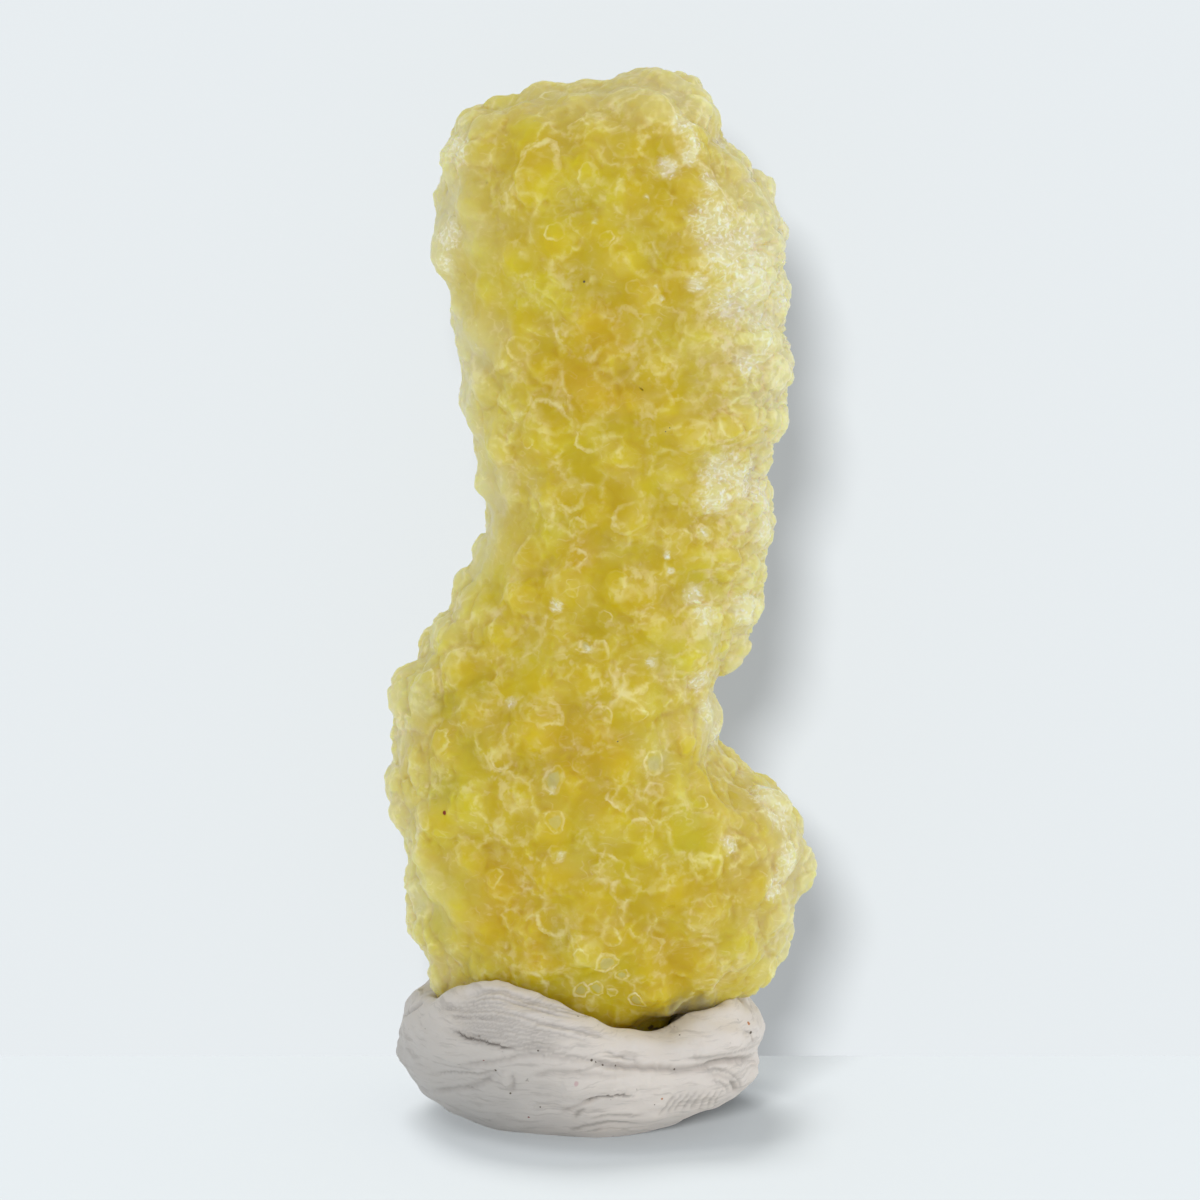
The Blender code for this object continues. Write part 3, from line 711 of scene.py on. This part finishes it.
def brucite_material(specks):
    n = new_material("brucite")
    rest = n.attribute("rest", "Vector")
    place = n.attribute("place")
    right = n.attribute("right")
    left = n.attribute("left")
    flanks = n.math('ADD', right, left)
    wobble = n.noise(0.6 * MM, 2.0, 0.6, rest)
    # pale lines along the borders of the cells, clear in some places and lost in others
    broad = wandered(n, rest, n.attribute("shift", "Vector"), BROAD_WANDER)
    lines = n.larger(border_line(n, n.cell_edge(broad, BROAD_CELL)), n.attribute("small_line"))
    lines = n.times(lines, n.attribute("clear"))
    lines = n.larger(lines, n.attribute("ledge_line"))
    curls_on_right = n.times(right, 0.80)
    curl_share = n.larger(curls_on_right, n.times(n.attribute("veil"), 0.60))
    curls = curled_lines(n, rest)
    lines = n.larger(lines, n.times(curls, curl_share))
    lines = n.times(lines, n.ramp(wobble, 0.38, 0.60, 0.10, 1.0))
    # the rims of the standing tips
    wobbled = n.math('ADD', place, n.math('MULTIPLY_ADD', wobble, 0.50, -0.25))
    band = n.times(n.ramp(wobbled, 0.60, 0.84), n.ramp(wobbled, 0.86, 1.02, 1.0, 0.0))
    band = n.times(band, n.ramp(wobble, 0.36, 0.54, 0.48, 1.0))
    band = n.times(band, n.attribute("rim"))
    # the body's colour: gold in the middle, cream on the right, frosted lemon on the left; the paleness of
    # the flanks is partly painted light, the lamp falling on the right flank and light showing through the
    # thin edges
    body = n.mix(n.times(n.attribute("tone"), 0.7), DEEP_GOLD, GOLDEN)
    body = n.mix(n.times(n.attribute("lemon"), 0.6), body, LEMON)
    veil_share = n.math('MULTIPLY_ADD', flanks, 0.24, 0.12)
    body = n.mix(n.times(n.attribute("veil"), veil_share), body, RIM_WHITE)
    body = n.mix(n.times(right, 0.60), body, CREAM)
    body = n.mix(n.times(left, 0.62), body, FROSTED_AND_LIT_LEMON)
    # painted light: the outline and the top paler, where light shows through the thin edges
    body = n.mix(n.times(n.attribute("edge"), 0.55), body, EDGE_GLOW_PALE)
    for kind, (colour, strength) in PATCH_COLOURS.items():
        spread = n.math('ADD', n.attribute(kind), n.math('MULTIPLY_ADD', wobble, 0.5, -0.25))
        body = n.mix(n.times(n.ramp(spread, 0.20, 0.90), strength), body, colour)
    body = n.mix(n.times(lines, n.math('MULTIPLY_ADD', flanks, 0.25, 0.42)), body, RIM_WHITE)
    inside = n.times(n.attribute("hollow"), n.ramp(place, 0.45, 0.62, 1.0, 0.0))
    body = n.mix(n.times(inside, 0.40), body, PATCH_COLOURS["glassy"][0])
    body = n.mix(n.times(band, 0.50), body, RIM_WHITE)
    # white crystal where the frost is, broken into grains: painted glints, over a painted cream sheen that
    # also covers the right flank
    grains = n.noise(0.26 * MM, 1.0, 0.6, rest)
    frost_and_glint_field = n.larger(n.attribute("frost_and_glints"), n.times(right, 0.30))
    body = n.mix(n.ramp(frost_and_glint_field, 0.12, 0.85, 0.0, 0.70), body, FROST_AND_SHEEN_CREAM)
    frost_and_glints = n.larger(n.ramp(grains, 0.48, 0.74), n.times(curls, 0.50))
    broken = n.math('ADD', frost_and_glint_field, n.math('MULTIPLY_ADD', wobble, 0.9, -0.45))
    frost_and_glints = n.times(frost_and_glints, n.ramp(broken, 0.16, 0.72))
    body = n.mix(n.times(frost_and_glints, 0.85), body, FROST_AND_GLINT_WHITE)
    body = add_specks(n, body, rest, specks, wobble)
    n.fill(n.shader, {
        "Base Color": body,
        "Subsurface Weight": 1.0,
        "Subsurface Radius": (1.0, 0.85, 0.12),
        "Subsurface Scale": 3.0 * MM,
        "IOR": 1.57,
        "Specular IOR Level": 0.26,
        "Roughness": n.math('MULTIPLY_ADD', frost_and_glint_field, -0.14, n.attribute("haze")),
        "Normal": n.bump(grains, 0.35, 0.06 * MM),
    })
    return n.material


# ---------------- specks: of dirt, and an umber row along the crystal's root
SPECK_COLOURS = {
    "dark": srgb(100, 88, 74),
    "umber": srgb(136, 112, 74),
    "red": srgb(128, 58, 52),
    "deep red": srgb(140, 36, 8),
    "orange": srgb(196, 132, 84),
    "pink": srgb(208, 180, 178),
}


def find_specks(surface, specks):
    """Where the specks lie on a surface: (place, radius, colour)."""
    found = []
    for x, y, radius, kind in specks:
        hit = surface.hit(x, y)
        if hit is not None:
            found.append((tuple(hit), radius * MM, SPECK_COLOURS[kind]))
    return found


def add_specks(n, body, rest, specks, wobble):
    """Small specks of dirt, and the umber row at the crystal's root, each a ragged little ball of colour
    around its place.
    """
    ragged = n.math('MULTIPLY_ADD', wobble, 0.16 * MM, -0.08 * MM)
    for place, radius, colour in specks:
        distance = n.math('ADD', n.vector('DISTANCE', rest, place), ragged)
        body = n.mix(n.ramp(distance, radius * 0.6, radius * 1.1, 1.0, 0.0), body, colour)
    return body


# ---------------- the putty
PUTTY_BASE_VOXEL = 0.40 * MM
PUTTY_BASE_SMOOTHING = 5
PUTTY_TRIANGLES = 190000
PUTTY_SEED = 40
PUTTY_HEIGHT = 9.0 * MM
# Slow kneaded swells, and finer relief drawn out sideways
KNEAD_LENGTH = 3.2 * MM
KNEAD_HEIGHT = 0.065 * MM
DRAWN_LENGTH = 1.1 * MM
DRAWN_HEIGHT = 0.032 * MM
DRAWN_STRETCH = (0.35, 0.35, 1.6)
# Farther from a stroke, in its half widths, than any point that it touches
FAR = 9.0
# How far the lip is drawn up against the crystal in front: (place from left to right, rise)
# in millimetres, and how far it leans out as a share of the rise
LIP_RISES = (
    (-9.0, 0.0), (-5.7, 0.9), (-2.7, 1.25), (0.3, 0.8), (2.7, 0.3),
    (4.5, 0.2), (6.2, 0.8), (7.3, 1.1), (8.7, 1.1), (10.5, 0.3),
)
LIP_LEAN = 0.35
# The lip and the bottom of its stretched band, from left to right: (x, y)
LIP_LINE = (
    (427, 992), (442, 994), (461, 991), (482, 984), (500, 982), (519, 986), (538, 993), (557, 999),
    (589, 1008), (612, 1018), (627, 1025), (646, 1030), (662, 1031), (676, 1028), (700, 1030),
)
BAND_FOOT = (
    (427, 1036), (452, 1034), (464, 1039), (491, 1045), (515, 1051), (560, 1058), (604, 1066),
    (650, 1068), (700, 1066),
)
# How many fine lines there are in the band, and the x where they start and where they end
STRETCH_LINES = 13
STRETCH_REACH = ((436.0, 470.0), (540.0, 680.0))
STROKE_KINDS = {
    # kind: (half width, depth, how dark it is: grime, and painted shade in the pressed-in marks)
    "crease": (0.22 * MM, 0.40 * MM, 0.35),
    "fold": (0.17 * MM, 0.20 * MM, 0.18),
    "crack": (0.075 * MM, 0.18 * MM, 0.80),
    "hair": (0.11 * MM, 0.115 * MM, 0.27),
    "streak": (0.16 * MM, 0.05 * MM, 0.50),
    "ridge": (0.34 * MM, -0.34 * MM, 0.0),
    "swell": (1.00 * MM, -0.30 * MM, 0.0),
}
# Marks in the putty's front: (kind, path of (x, y))
PUTTY_STROKES = (
    ("crease", ((397, 1022), (405, 1016), (413, 1010), (424, 1002))),
    ("swell", ((400, 1006), (412, 999), (424, 992))),
    ("crease", ((585, 1058), (604, 1065), (631, 1067), (659, 1068), (678, 1070), (698, 1067), (723, 1060),
                (740, 1059), (757, 1059))),
    ("swell", ((620, 1050), (650, 1052), (690, 1052), (725, 1046), (750, 1042))),
    ("swell", ((690, 1050), (720, 1044), (748, 1040))),
    ("swell", ((640, 1085), (680, 1086), (715, 1078), (745, 1072))),
    ("crack", ((451, 1029), (458, 1033), (464, 1037), (478, 1040), (491, 1044), (502, 1047), (515, 1049))),
    ("fold", ((448, 1031), (470, 1040), (495, 1046), (525, 1052), (560, 1058), (590, 1062))),
    ("fold", ((456, 1066), (487, 1063), (510, 1058), (535, 1053))),
    ("fold", ((427, 1091), (445, 1091), (461, 1089), (475, 1086), (487, 1081), (497, 1071))),
    ("hair", ((430, 1074), (455, 1072), (480, 1074), (495, 1071))),
    ("ridge", ((503, 1070), (506, 1078), (509, 1087))),
    ("hair", ((513, 1074), (514, 1082), (513, 1090))),
    ("fold", ((529, 1077), (540, 1074), (551, 1072), (568, 1072), (585, 1073), (608, 1075), (634, 1075))),
    ("swell", ((560, 1090), (590, 1086), (625, 1084))),
    ("crack", ((584, 1103), (592, 1099), (602, 1096), (616, 1095), (634, 1095))),
    ("fold", ((560, 1116), (572, 1108), (585, 1102), (600, 1097))),
    ("streak", ((574, 1118), (580, 1112), (584, 1110))),
    ("hair", ((588, 1121), (604, 1117), (622, 1115), (646, 1115))),
    ("streak", ((570, 1130), (584, 1126), (610, 1123), (640, 1123))),
    ("fold", ((572, 1132), (600, 1130), (625, 1129), (650, 1126))),
    ("streak", ((700, 1066), (712, 1063), (723, 1060), (738, 1058), (752, 1058))),
    ("hair", ((684, 1060), (700, 1058), (716, 1055), (735, 1050), (755, 1046))),
    ("hair", ((640, 1062), (620, 1056), (604, 1050))),
    ("hair", ((697, 1069), (715, 1068), (729, 1073), (738, 1081), (742, 1090))),
    ("fold", ((702, 1074), (717, 1074), (728, 1079), (735, 1086), (738, 1093))),
    ("hair", ((706, 1080), (717, 1081), (725, 1086), (729, 1093))),
    ("streak", ((728, 1080), (734, 1085), (737, 1091))),
    ("ridge", ((752, 1062), (754, 1070), (752, 1078))),
    ("hair", ((742, 1030), (749, 1034), (750, 1042))),
)
# Fine lines that fan out over the lower right: how many, and where the first and last run
FAN_LINES = 8
FAN_FIRST = ((676, 1092), (660, 1116))
FAN_LAST = ((722, 1089), (714, 1105))
# Folds round the back and sides: (kind, path of (azimuth in degrees, share of PUTTY_HEIGHT))
BACK_STROKES = (
    ("crease", ((15, 0.50), (35, 0.46), (60, 0.50), (85, 0.44), (110, 0.40))),
    ("fold", ((95, 0.66), (115, 0.60), (140, 0.62), (165, 0.52), (185, 0.50))),
    ("fold", ((30, 0.74), (50, 0.70), (75, 0.76), (95, 0.72))),
    ("fold", ((55, 0.26), (80, 0.22), (105, 0.26), (135, 0.20))),
    ("crack", ((118, 0.42), (130, 0.44), (142, 0.41))),
    ("hair", ((20, 0.62), (45, 0.60), (70, 0.63))),
    ("hair", ((25, 0.34), (50, 0.32), (72, 0.30))),
    ("hair", ((120, 0.74), (145, 0.72), (168, 0.66))),
    ("hair", ((125, 0.30), (150, 0.34), (175, 0.36))),
    ("streak", ((60, 0.40), (75, 0.36), (95, 0.34))),
    ("ridge", ((150, 0.56), (153, 0.48), (154, 0.38))),
    ("hair", ((-20, 0.62), (-8, 0.60), (8, 0.62))),
    ("swell", ((60, 0.62), (80, 0.60), (100, 0.54))),
    ("swell", ((140, 0.40), (160, 0.34), (180, 0.30))),
)
# Specks of dirt on the putty and in the crystal, and in the crystal a row of umber ones along its root just
# above the putty: (x, y, radius in millimetres, kind)
PUTTY_SPECKS = (
    (495, 1071, 0.09, "dark"), (511, 1092, 0.08, "dark"), (540, 1108, 0.06, "dark"),
    (529, 1116, 0.08, "red"), (538, 1051, 0.07, "dark"), (592, 1060, 0.09, "dark"),
    (596, 1062, 0.06, "dark"), (603, 1065, 0.07, "dark"), (617, 1065, 0.06, "dark"),
    (675, 1069, 0.07, "dark"), (680, 1037, 0.06, "dark"), (654, 1104, 0.06, "dark"),
    (661, 1098, 0.09, "orange"), (747, 1024, 0.15, "orange"), (749, 1033, 0.09, "dark"),
    (613, 1136, 0.06, "dark"), (578, 1016, 0.05, "dark"), (483, 1061, 0.05, "red"),
    (576, 1081, 0.15, "pink"), (490, 1120, 0.05, "dark"),
)
CRYSTAL_SPECKS = (
    (447, 813, 0.17, "deep red"), (617, 742, 0.06, "dark"), (584, 282, 0.07, "dark"),
    # a row of umber specks, wider to the right, along the crystal's root just above the putty
    (670, 427, 0.06, "dark"), (666, 431, 0.05, "dark"), (649, 1025, 0.26, "umber"),
    (653, 1027, 0.30, "umber"), (657, 1026, 0.34, "umber"), (661, 1024, 0.36, "umber"),
    (665, 1023, 0.40, "umber"), (671, 1020, 0.46, "umber"), (677, 1016, 0.50, "umber"),
)


def sample_path(path, count_each=14):
    """Points all along a path, close together."""
    samples = []
    for (x0, y0), (x1, y1) in zip(path, path[1:]):
        for step in range(count_each):
            t = step / count_each
            samples.append((x0 + (x1 - x0) * t, y0 + (y1 - y0) * t))
    samples.append(path[-1])
    return samples


def stretch_strokes():
    """The many fine lines that run along the stretched band under the lip."""
    chance = np.random.default_rng(PUTTY_SEED)
    lip_x, lip_y = np.array(LIP_LINE, dtype=float).T
    foot_x, foot_y = np.array(BAND_FOOT, dtype=float).T
    strokes = []
    for number in range(STRETCH_LINES):
        share = (number + 1.6 + chance.uniform(-0.25, 0.25)) / (STRETCH_LINES + 1.5)
        start = chance.uniform(*STRETCH_REACH[0])
        end = chance.uniform(*STRETCH_REACH[1]) - 60.0 * (1.0 - share)
        xs = np.linspace(start, end, 12)
        tops = np.interp(xs, lip_x, lip_y)
        feet = np.interp(xs, foot_x, foot_y)
        ys = tops + (feet - tops) * share
        strokes.append(("hair", list(zip(xs, ys))))
    return strokes


def fan_strokes():
    """The short lines that fan out over the lower right, each with a bend."""
    strokes = []
    (ax, ay), (bx, by) = FAN_FIRST
    (cx, cy), (dx, dy) = FAN_LAST
    for number in range(FAN_LINES):
        t = number / (FAN_LINES - 1)
        top = (ax + (cx - ax) * t, ay + (cy - ay) * t)
        foot = (bx + (dx - bx) * t, by + (dy - by) * t)
        bend = (top[0] + 0.35 * (foot[0] - top[0]) - 4.0, top[1] + 0.55 * (foot[1] - top[1]))
        strokes.append(("hair", [top, bend, foot]))
    return strokes


def press_strokes(surface):
    """How far every point is pressed in or raised by the marks, and how dark they make it, with grime and
    painted shade in the pressed-in ones.
    """
    count = len(surface.points)
    press = np.zeros(count)
    grime_and_crease_shade = np.zeros(count)
    front = list(PUTTY_STROKES) + stretch_strokes() + fan_strokes()
    routes = []
    for kind, path in front:
        routes.append((kind, [surface.seen(x, y) for x, y in sample_path(path)]))
    for kind, path in BACK_STROKES:
        samples = sample_path(path, 40)
        routes.append((kind, [surface.from_side(angle, share * PUTTY_HEIGHT) for angle, share in samples]))
    for kind, numbers in routes:
        width, depth, dark = STROKE_KINDS[kind]
        numbers = [number for number in numbers if number is not None]
        along = np.full(count, FAR)
        fade = np.zeros(count)
        for step, number in enumerate(numbers):
            index = surface.around(surface.points[number], 3.0 * width)
            distance = np.linalg.norm(surface.points[index] - surface.points[number], axis=1) / width
            closer = distance < along[index]
            along[index[closer]] = distance[closer]
            t = step / max(1, len(numbers) - 1)
            fade[index[closer]] = min(1.0, 5.0 * t + 0.15, 5.0 * (1.0 - t) + 0.15)
        touched = along < FAR
        shape = np.exp(-along[touched] ** 2) * fade[touched]
        press[touched] += depth * shape
        grime_and_crease_shade[touched] = np.maximum(grime_and_crease_shade[touched], dark * shape)
    return press, grime_and_crease_shade


def draw_up_lip(putty):
    """The lip raised, and leant out a little, where the photo shows it against the crystal."""
    points = vectors_of(putty, "co")
    rise = np.interp(points[:, 0] / MM, *zip(*LIP_RISES)) * MM
    rise *= ease(3.0 * MM, 8.0 * MM, points[:, 2]) * ease(0.0, -4.0 * MM, points[:, 1])
    points[:, 2] += rise
    points[:, 1] -= LIP_LEAN * rise
    set_points(putty, points)


def build_putty():
    """The putty's fine mesh, with the fields that its material draws by, and its specks."""
    putty = copy_of_node("putty", "putty_lump")
    voxel_remesh(putty, PUTTY_BASE_VOXEL)
    smooth(putty, PUTTY_BASE_SMOOTHING)
    draw_up_lip(putty)
    voxel_remesh(putty, FINE_VOXEL)
    smooth(putty, 3)
    surface = Surface(putty)
    points, normals = surface.points, surface.normals
    press, grime_and_crease_shade = press_strokes(surface)
    knead = Waves(PUTTY_SEED + 1, KNEAD_LENGTH, 30).at(points) * KNEAD_HEIGHT
    drawn = Waves(PUTTY_SEED + 2, DRAWN_LENGTH, 40).at(points * DRAWN_STRETCH) * DRAWN_HEIGHT
    # the foot stays flat, and on the floor
    offset = (knead + drawn - press) * ease(0.25 * MM, 1.2 * MM, points[:, 2])
    moved = points + normals * offset[:, None]
    low = points[:, 2] < 0.30 * MM
    moved[low, 2] = np.maximum(moved[low, 2], 0.0)
    set_points(putty, moved)
    add_rest(putty, points)
    add_attribute(putty, "grime_and_crease_shade", grime_and_crease_shade)
    # painted shade: the putty darker low on its left, away from the lamp on the right
    painted_shade_low_left = fall(-9.0 * MM, 2.0 * MM, points[:, 0]) * fall(2.0 * MM, 13.0 * MM, points[:, 2])
    add_attribute(putty, "painted_shade_low_left", painted_shade_low_left)
    reduce_to(putty, PUTTY_TRIANGLES)
    putty.data.shade_smooth()
    return putty, find_specks(surface, PUTTY_SPECKS)


PUTTY_WARM = srgb(238, 226, 215)
PUTTY_GREY = srgb(218, 209, 202)
PUTTY_PAINTED_SHADE = srgb(174, 170, 166)
PUTTY_GRIME_AND_SHADE = srgb(118, 108, 100)


def putty_material(specks):
    n = new_material("putty")
    place = n.attribute("rest", "Vector")
    painted_shade_low_left = n.attribute("painted_shade_low_left")
    body = n.mix(n.noise(5.0 * MM, 4.0, 0.6, place), PUTTY_GREY, PUTTY_WARM)
    # painted shade, low on the left
    body = n.mix(n.times(painted_shade_low_left, 0.8), body, PUTTY_PAINTED_SHADE)
    drawn = n.vector('MULTIPLY', n.warp(place, 3.0 * MM, 1.2 * MM), (0.25, 0.25, 2.2))
    fibres = n.noise(0.7 * MM, 4.0, 0.6, drawn)
    body = n.mix(n.ramp(fibres, 0.32, 0.50, 0.24, 0.0), body, PUTTY_GRIME_AND_SHADE)
    # grime and painted shade along the creases, folds, cracks and hairs
    body = n.mix(n.attribute("grime_and_crease_shade"), body, PUTTY_GRIME_AND_SHADE)
    body = n.mix(n.ramp(n.noise(0.5 * MM, 2.0, 0.5, place), 0.20, 0.28, 0.5, 0.0), body, PUTTY_GRIME_AND_SHADE)
    pores = n.noise(0.25 * MM, 3.0, 0.6, place)
    body = add_specks(n, body, place, specks, pores)
    n.fill(n.shader, {
        "Base Color": body,
        "Subsurface Weight": 0.10,
        "Subsurface Radius": (1.0, 0.8, 0.6),
        "Subsurface Scale": 0.4 * MM,
        "Roughness": 0.62,
        "Specular IOR Level": 0.35,
        "Normal": n.bump(pores, 0.60, 0.05 * MM, n.bump(fibres, 0.60, 0.07 * MM)),
    })
    return n.material


# ---------------- stage and light
BACKGROUND = srgb(232, 237, 240)
BACKDROP_Y = 15.0 * MM
WORLD_LIGHT = 0.90
# Each sheet's own glow, and the share of light that it gives back
FLOOR_GLOW = 0.0
FLOOR_ALBEDO = 0.291
BACKDROP_GLOW = 0.440
BACKDROP_ALBEDO = 0.098
STAGE_TINT = (0.953, 1.0, 1.028)
STAGE_REACH = 3.0
# The suns light the stage alone, each from the width given in degrees:
# (name, way its light goes, width, strength, what it lights, what blocks it if not everything)
SUNS = (
    ("backdrop_light", (0.168, 1.0, -0.474), 15.2, 14.3, "backdrop", None),
    ("floor_front_light", (0.28, 1.0, -0.20), 18.0, 17.5, "floor", None),
    ("floor_top_light", (0.34, -0.74, -1.0), 30.0, 3.45, "floor", "putty"),
    ("floor_left_light", (0.66, 0.05, -1.0), 24.0, 1.20, "floor", "putty"),
)
# The lamps light the specimen alone: (name, place, what it faces, width, watts, what it lights)
LAMPS = (
    ("key_light", (0.36, -0.08, 0.22), (0.0, 0.0, 0.035), 0.06, 0.150, "pieces"),
    ("fill_light", (0.05, -0.38, 0.06), (0.0, 0.0, 0.035), 0.25, 0.08, "crystal"),
    ("low_light", (0.15, -0.32, -0.05), (0.0, 0.0, 0.0), 0.20, 0.53, "putty"),
)


def make_plane(name, corners, material):
    mesh = bpy.data.meshes.new(name)
    mesh.from_pydata(corners, [], [(0, 1, 2, 3)])
    mesh.materials.append(material)
    obj = into_scene(name, mesh)
    return obj


def stage_material(name, glow, albedo, one_sided):
    """A pale matte sheet with a little glow of its own, seen only from its front if one-sided."""
    n = new_material(name)
    n.tree.nodes.remove(n.shader)
    colour = [albedo * part for part in STAGE_TINT] + [1.0]
    diffuse = n.add("ShaderNodeBsdfDiffuse", {"Color": colour}).outputs[0]
    emission = n.add("ShaderNodeEmission", {"Color": BACKGROUND, "Strength": glow}).outputs[0]
    surface = n.add("ShaderNodeAddShader", {0: diffuse, 1: emission}).outputs[0]
    if one_sided:
        behind = n.add("ShaderNodeNewGeometry").outputs["Backfacing"]
        clear = n.add("ShaderNodeBsdfTransparent").outputs[0]
        surface = n.add("ShaderNodeMixShader", {0: behind, 1: surface, 2: clear}).outputs[0]
    n.fill(n.output, {"Surface": surface})
    return n.material


def build_stage():
    wide = STAGE_REACH
    floor = make_plane(
        "floor",
        [(-wide, -wide, 0), (wide, -wide, 0), (wide, wide, 0), (-wide, wide, 0)],
        stage_material("floor", FLOOR_GLOW, FLOOR_ALBEDO, False),
    )
    backdrop = make_plane(
        "backdrop",
        [(-wide, BACKDROP_Y, 0), (wide, BACKDROP_Y, 0), (wide, BACKDROP_Y, wide), (-wide, BACKDROP_Y, wide)],
        stage_material("backdrop", BACKDROP_GLOW, BACKDROP_ALBEDO, True),
    )
    # the backdrop is only seen: it throws no light back on the specimen, and no shadow
    backdrop.visible_diffuse = False
    backdrop.visible_glossy = False
    backdrop.visible_transmission = False
    backdrop.visible_shadow = False
    world = bpy.data.worlds.new("world")
    world.use_nodes = True
    n = Nodes(world.node_tree)
    seen = n.add("ShaderNodeLightPath").outputs["Is Camera Ray"]
    strength = n.add("ShaderNodeMapRange", {"Value": seen, "To Min": WORLD_LIGHT, "To Max": 1.0})
    n.fill(n.tree.nodes["Background"], {"Color": BACKGROUND, "Strength": strength.outputs["Result"]})
    bpy.context.scene.world = world
    return floor, backdrop


def group(name, objects):
    """The objects that a light shines on or is blocked by, as a collection of their own."""
    collection = bpy.data.collections.new(name)
    for obj in objects:
        collection.objects.link(obj)
    return collection


def new_light(name, kind, power, towards, lit):
    data = bpy.data.lights.new(name, kind)
    data.energy = power
    light = into_scene(name, data)
    light.rotation_mode = 'QUATERNION'
    light.rotation_quaternion = Vector(towards).to_track_quat('-Z', 'Y')
    light.light_linking.receiver_collection = lit
    return light


def build_lights(crystal, putty, floor, backdrop):
    groups = {
        "backdrop": group("backdrop_group", [backdrop]),
        "floor": group("floor_group", [floor]),
        "crystal": group("crystal_group", [crystal]),
        "putty": group("putty_group", [putty]),
        "pieces": group("pieces_group", [crystal, putty]),
    }
    for name, towards, width, strength, lit, blocker in SUNS:
        sun = new_light(name, 'SUN', strength, towards, groups[lit])
        sun.data.angle = math.radians(width)
        sun.light_linking.blocker_collection = groups.get(blocker)
    for name, place, target, size, power, lit in LAMPS:
        lamp = new_light(name, 'AREA', power, Vector(target) - Vector(place), groups[lit])
        lamp.location = place
        lamp.data.shape = 'DISK'
        lamp.data.size = size


# ---------------- put together
make_camera()
crystal, crystal_specks = build_crystal()
crystal.data.materials.append(brucite_material(crystal_specks))
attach(crystal, "root")
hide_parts("brucite")
putty, putty_specks = build_putty()
putty.data.materials.append(putty_material(putty_specks))
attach(putty, "root")
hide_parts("putty")
floor, backdrop = build_stage()
build_lights(crystal, putty, floor, backdrop)
bpy.context.scene.view_settings.view_transform = 'Standard'
